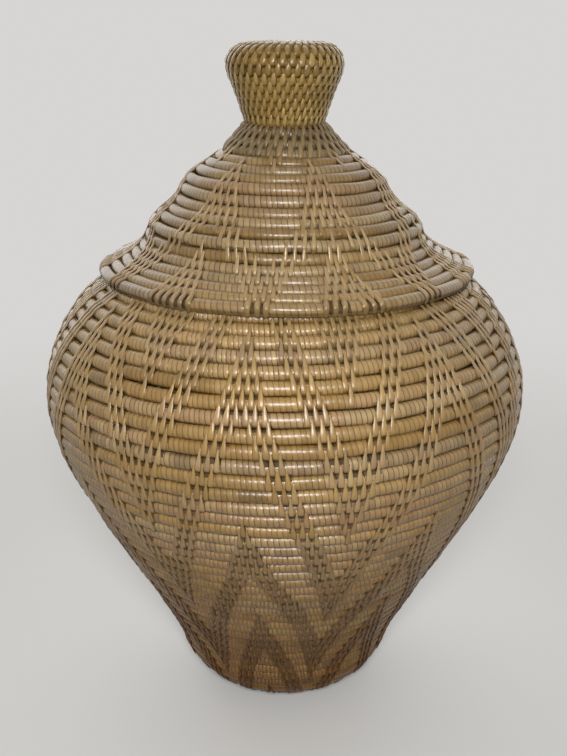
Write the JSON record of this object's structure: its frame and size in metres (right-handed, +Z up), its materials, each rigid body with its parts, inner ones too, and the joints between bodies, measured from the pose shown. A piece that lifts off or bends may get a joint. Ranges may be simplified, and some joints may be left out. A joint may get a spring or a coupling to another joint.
{
  "type": "lidded basket",
  "caption": "Round coiled cane basket with a swelling belly, a small flat foot and a tiered conical lid that lifts off by a flared knob.",
  "frame": {"origin": "middle of the foot, at the level of the surface that the basket stands on", "axes": "+Z up along the axis of the basket, -Y towards the viewer of the picture"},
  "size_m": [0.2198, 0.2198, 0.3048],
  "materials": {
    "basket_cane": "glossy bound cane",
    "lid_cane": "glossy bound cane",
    "knob_cane": "glossy bound cane"
  },
  "bodies": {
    "basket": {"base_coil": "basket_cane", "wall_coil_01": "basket_cane", "wall_coil_02": "basket_cane", "wall_coil_03": "basket_cane", "wall_coil_04": "basket_cane", "wall_coil_05": "basket_cane", "wall_coil_06": "basket_cane", "wall_coil_07": "basket_cane", "wall_coil_08": "basket_cane", "wall_coil_09": "basket_cane", "wall_coil_10": "basket_cane", "wall_coil_11": "basket_cane", "wall_coil_12": "basket_cane", "wall_coil_13": "basket_cane", "collar_coil": "basket_cane"},
    "lid": {"lid_coil_01": "lid_cane", "lid_coil_02": "lid_cane", "lid_coil_03": "lid_cane", "lid_coil_04": "lid_cane", "brim_coil": "lid_cane", "knob_coil_01": "knob_cane", "knob_coil_02": "knob_cane", "knob_top_coil": "knob_cane"}
  },
  "joints": [
    {"name": "lid_lift", "type": "slide", "parent": "basket", "child": "lid", "axis": [0, 0, 1], "range_m": [0, 0.12]}
  ]
}
